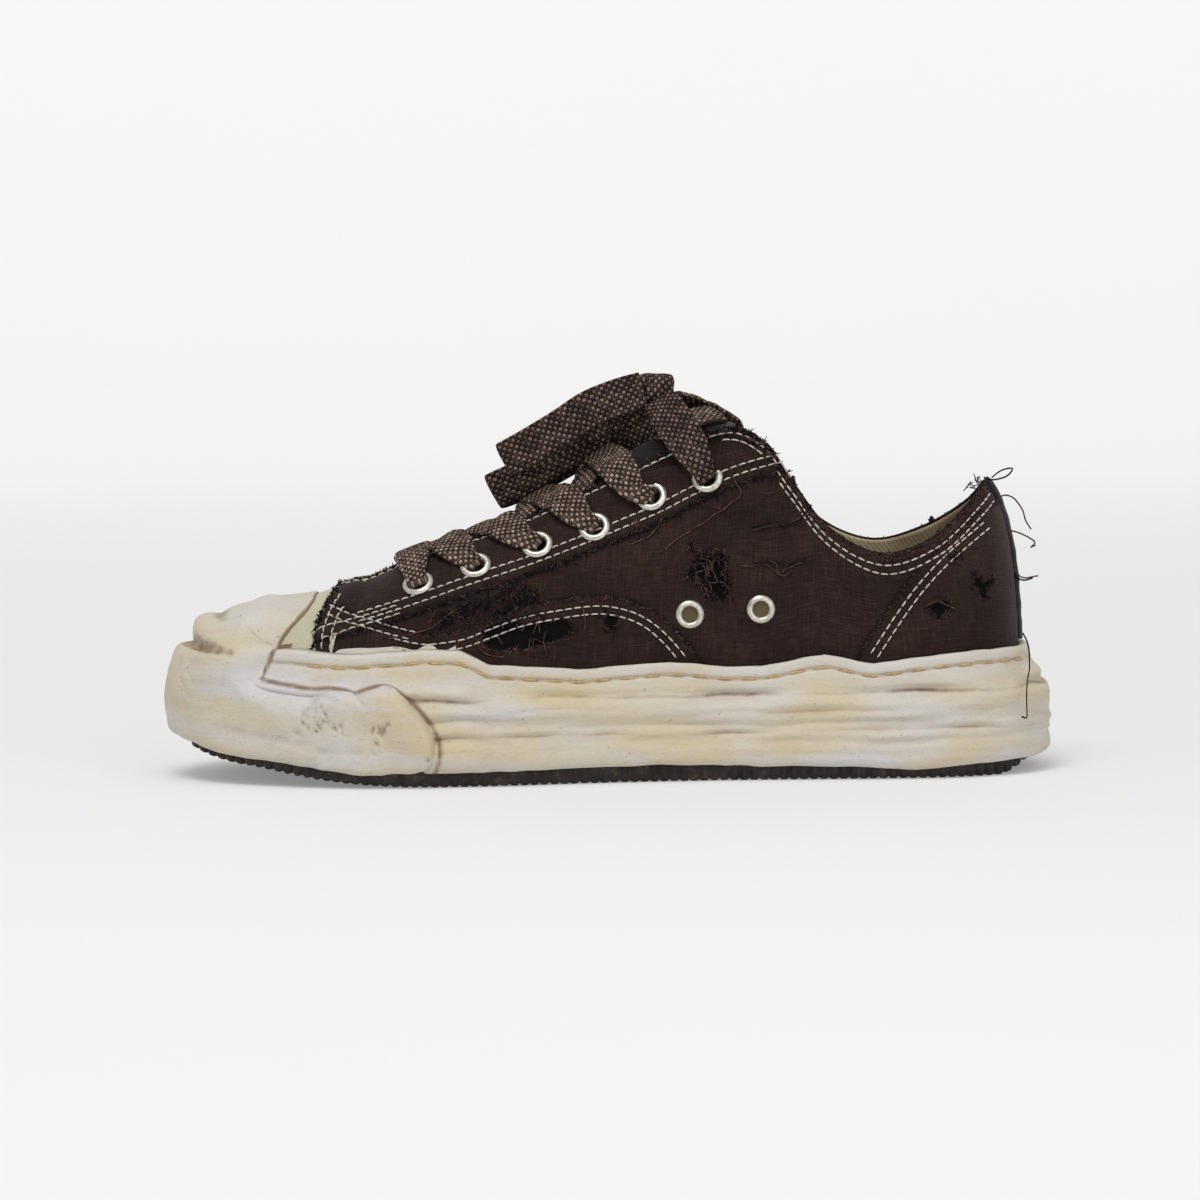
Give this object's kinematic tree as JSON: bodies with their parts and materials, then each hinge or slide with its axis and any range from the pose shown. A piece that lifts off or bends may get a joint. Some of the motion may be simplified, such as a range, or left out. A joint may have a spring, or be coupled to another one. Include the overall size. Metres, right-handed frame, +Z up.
{
  "type": "worn out sneaker",
  "caption": "Worn out low canvas sneaker for the right foot, with a thick melted-looking rubber sole, toe bumper, frayed seams and flat laces tied in a bow.",
  "frame": {"origin": "on the floor under the middle of the shoe without its loose laces", "axes": "+Z up, -X towards the toe, -Y towards the medial side (the wearer's left)"},
  "size_m": [0.3122, 0.122, 0.1409],
  "materials": {
    "outsole_rubber": "matt black-brown tread rubber",
    "wall_rubber": "cream rubber with folds, pits and yellowed patches",
    "cap_rubber": "smooth pale grey-green rubber",
    "canvas": "faded dark brown canvas with frayed edges and pale stitching",
    "tongue_canvas": "dark canvas",
    "footbed": "beige cotton lining and footbed",
    "lace_weave": "coarse basket weave in dark brown and tan",
    "lace_tip": "dark plastic tip",
    "eyelet_metal": "worn nickel-plated rings"
  },
  "bodies": {
    "root": {"outsole": "outsole_rubber", "midsole": "wall_rubber", "toe_bumper": "wall_rubber", "toe_cap": "cap_rubber", "upper": "canvas", "insole": "footbed", "tongue": "tongue_canvas", "eyelet_medial_1": "eyelet_metal", "eyelet_medial_2": "eyelet_metal", "eyelet_medial_3": "eyelet_metal", "eyelet_medial_4": "eyelet_metal", "eyelet_medial_5": "eyelet_metal", "eyelet_medial_6": "eyelet_metal", "eyelet_lateral_1": "eyelet_metal", "eyelet_lateral_2": "eyelet_metal", "eyelet_lateral_3": "eyelet_metal", "eyelet_lateral_4": "eyelet_metal", "eyelet_lateral_5": "eyelet_metal", "eyelet_lateral_6": "eyelet_metal", "vent_1": "eyelet_metal", "vent_2": "eyelet_metal", "lace_bar": "lace_weave", "lace_crossing_1": "lace_weave", "lace_crossing_2": "lace_weave", "lace_crossing_3": "lace_weave", "lace_crossing_4": "lace_weave", "lace_crossing_5": "lace_weave", "lace_lead_medial": "lace_weave", "lace_lead_lateral": "lace_weave", "lace_knot": "lace_weave", "lace_loop_medial": "lace_weave", "lace_loop_lateral": "lace_weave", "lace_end_front": "lace_weave", "lace_end_rear": "lace_weave", "lace_tip_front": "lace_tip", "lace_tip_rear": "lace_tip"}
  },
  "joints": []
}
